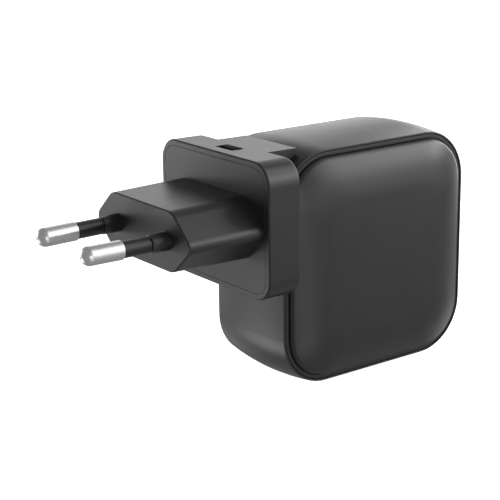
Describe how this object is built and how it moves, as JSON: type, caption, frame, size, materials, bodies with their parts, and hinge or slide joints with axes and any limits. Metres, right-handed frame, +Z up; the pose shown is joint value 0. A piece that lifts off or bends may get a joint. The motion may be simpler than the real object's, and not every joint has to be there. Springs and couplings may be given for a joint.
{
  "type": "usb wall charger",
  "caption": "Square USB wall charger block with a two-pin mains plug head that unlatches and slides off its dock.",
  "frame": {"origin": "centre of the plug's flat face, midway between the two pins, on the pins' own height", "axes": "-X is the plugging direction, along which the pins point; +X is the face with the USB ports; Y runs across the two pins, -Y being the front panel; +Z is up, the way the plug head slides off"},
  "size_m": [0.0992, 0.0388, 0.0536],
  "materials": {
    "charcoal_plastic": "fine satin moulded, matt",
    "black_plastic": "satin moulded",
    "nickel": "bright nickel plate",
    "brass": "rolled sheet",
    "spring_steel": "drawn wire",
    "aluminium": "drawn can",
    "copper": "copper, satin",
    "board": "green solder mask",
    "ferrite": "ground ferrite, matt",
    "yellow_film": "polyester tape",
    "ceramic": "coated ceramic",
    "insulation": "insulating film"
  },
  "bodies": {
    "charger_body": {"bridge_rectifier": "black_plastic", "bulk_capacitor_1": "aluminium", "bulk_capacitor_2": "aluminium", "common_mode_choke": "copper", "controller_chip": "black_plastic", "dock_plate": "black_plastic", "front_heat_plate": "copper", "front_panel": "charcoal_plastic", "front_rim": "black_plastic", "fuse": "ceramic", "inlet_contact_front": "brass", "inlet_contact_rear": "brass", "inlet_wire_front": "black_plastic", "inlet_wire_rear": "black_plastic", "insulation_sheet": "insulation", "main_board": "board", "mid_shell": "charcoal_plastic", "output_capacitor_1": "aluminium", "output_capacitor_2": "aluminium", "output_capacitor_3": "aluminium", "output_inductor": "ferrite", "power_switch": "black_plastic", "rear_heat_plate": "copper", "rear_panel": "charcoal_plastic", "rear_rim": "black_plastic", "transformer_bobbin": "black_plastic", "transformer_core_front": "ferrite", "transformer_core_rear": "ferrite", "transformer_winding": "yellow_film", "usb_a_shell": "nickel", "usb_a_tongue": "black_plastic", "usb_board": "board", "usb_c_shell_1": "nickel", "usb_c_shell_2": "nickel", "usb_c_tongue_1": "black_plastic", "usb_c_tongue_2": "black_plastic", "x_capacitor": "yellow_film", "y_capacitor": "ceramic"},
    "adapter": {"adapter_shell": "charcoal_plastic", "plug_cover": "charcoal_plastic", "adapter_back_plate": "charcoal_plastic", "pin_front": "nickel", "pin_rear": "nickel", "pin_sleeve_front": "black_plastic", "pin_sleeve_rear": "black_plastic", "contact_strip_front": "brass", "contact_strip_rear": "brass"},
    "latch": {"latch_slider": "black_plastic", "latch_spring": "spring_steel"}
  },
  "joints": [
    {"name": "adapter_lift", "type": "slide", "parent": "charger_body", "child": "adapter", "axis": [0, 0, 1], "range_m": [0, 0.022]},
    {"name": "latch_slide", "type": "slide", "parent": "adapter", "child": "latch", "axis": [-1, 0, 0], "range_m": [0, 0.0013], "stiffness_N_per_m": 900, "springref_m": -0.001, "deforming": ["latch_spring"]}
  ]
}
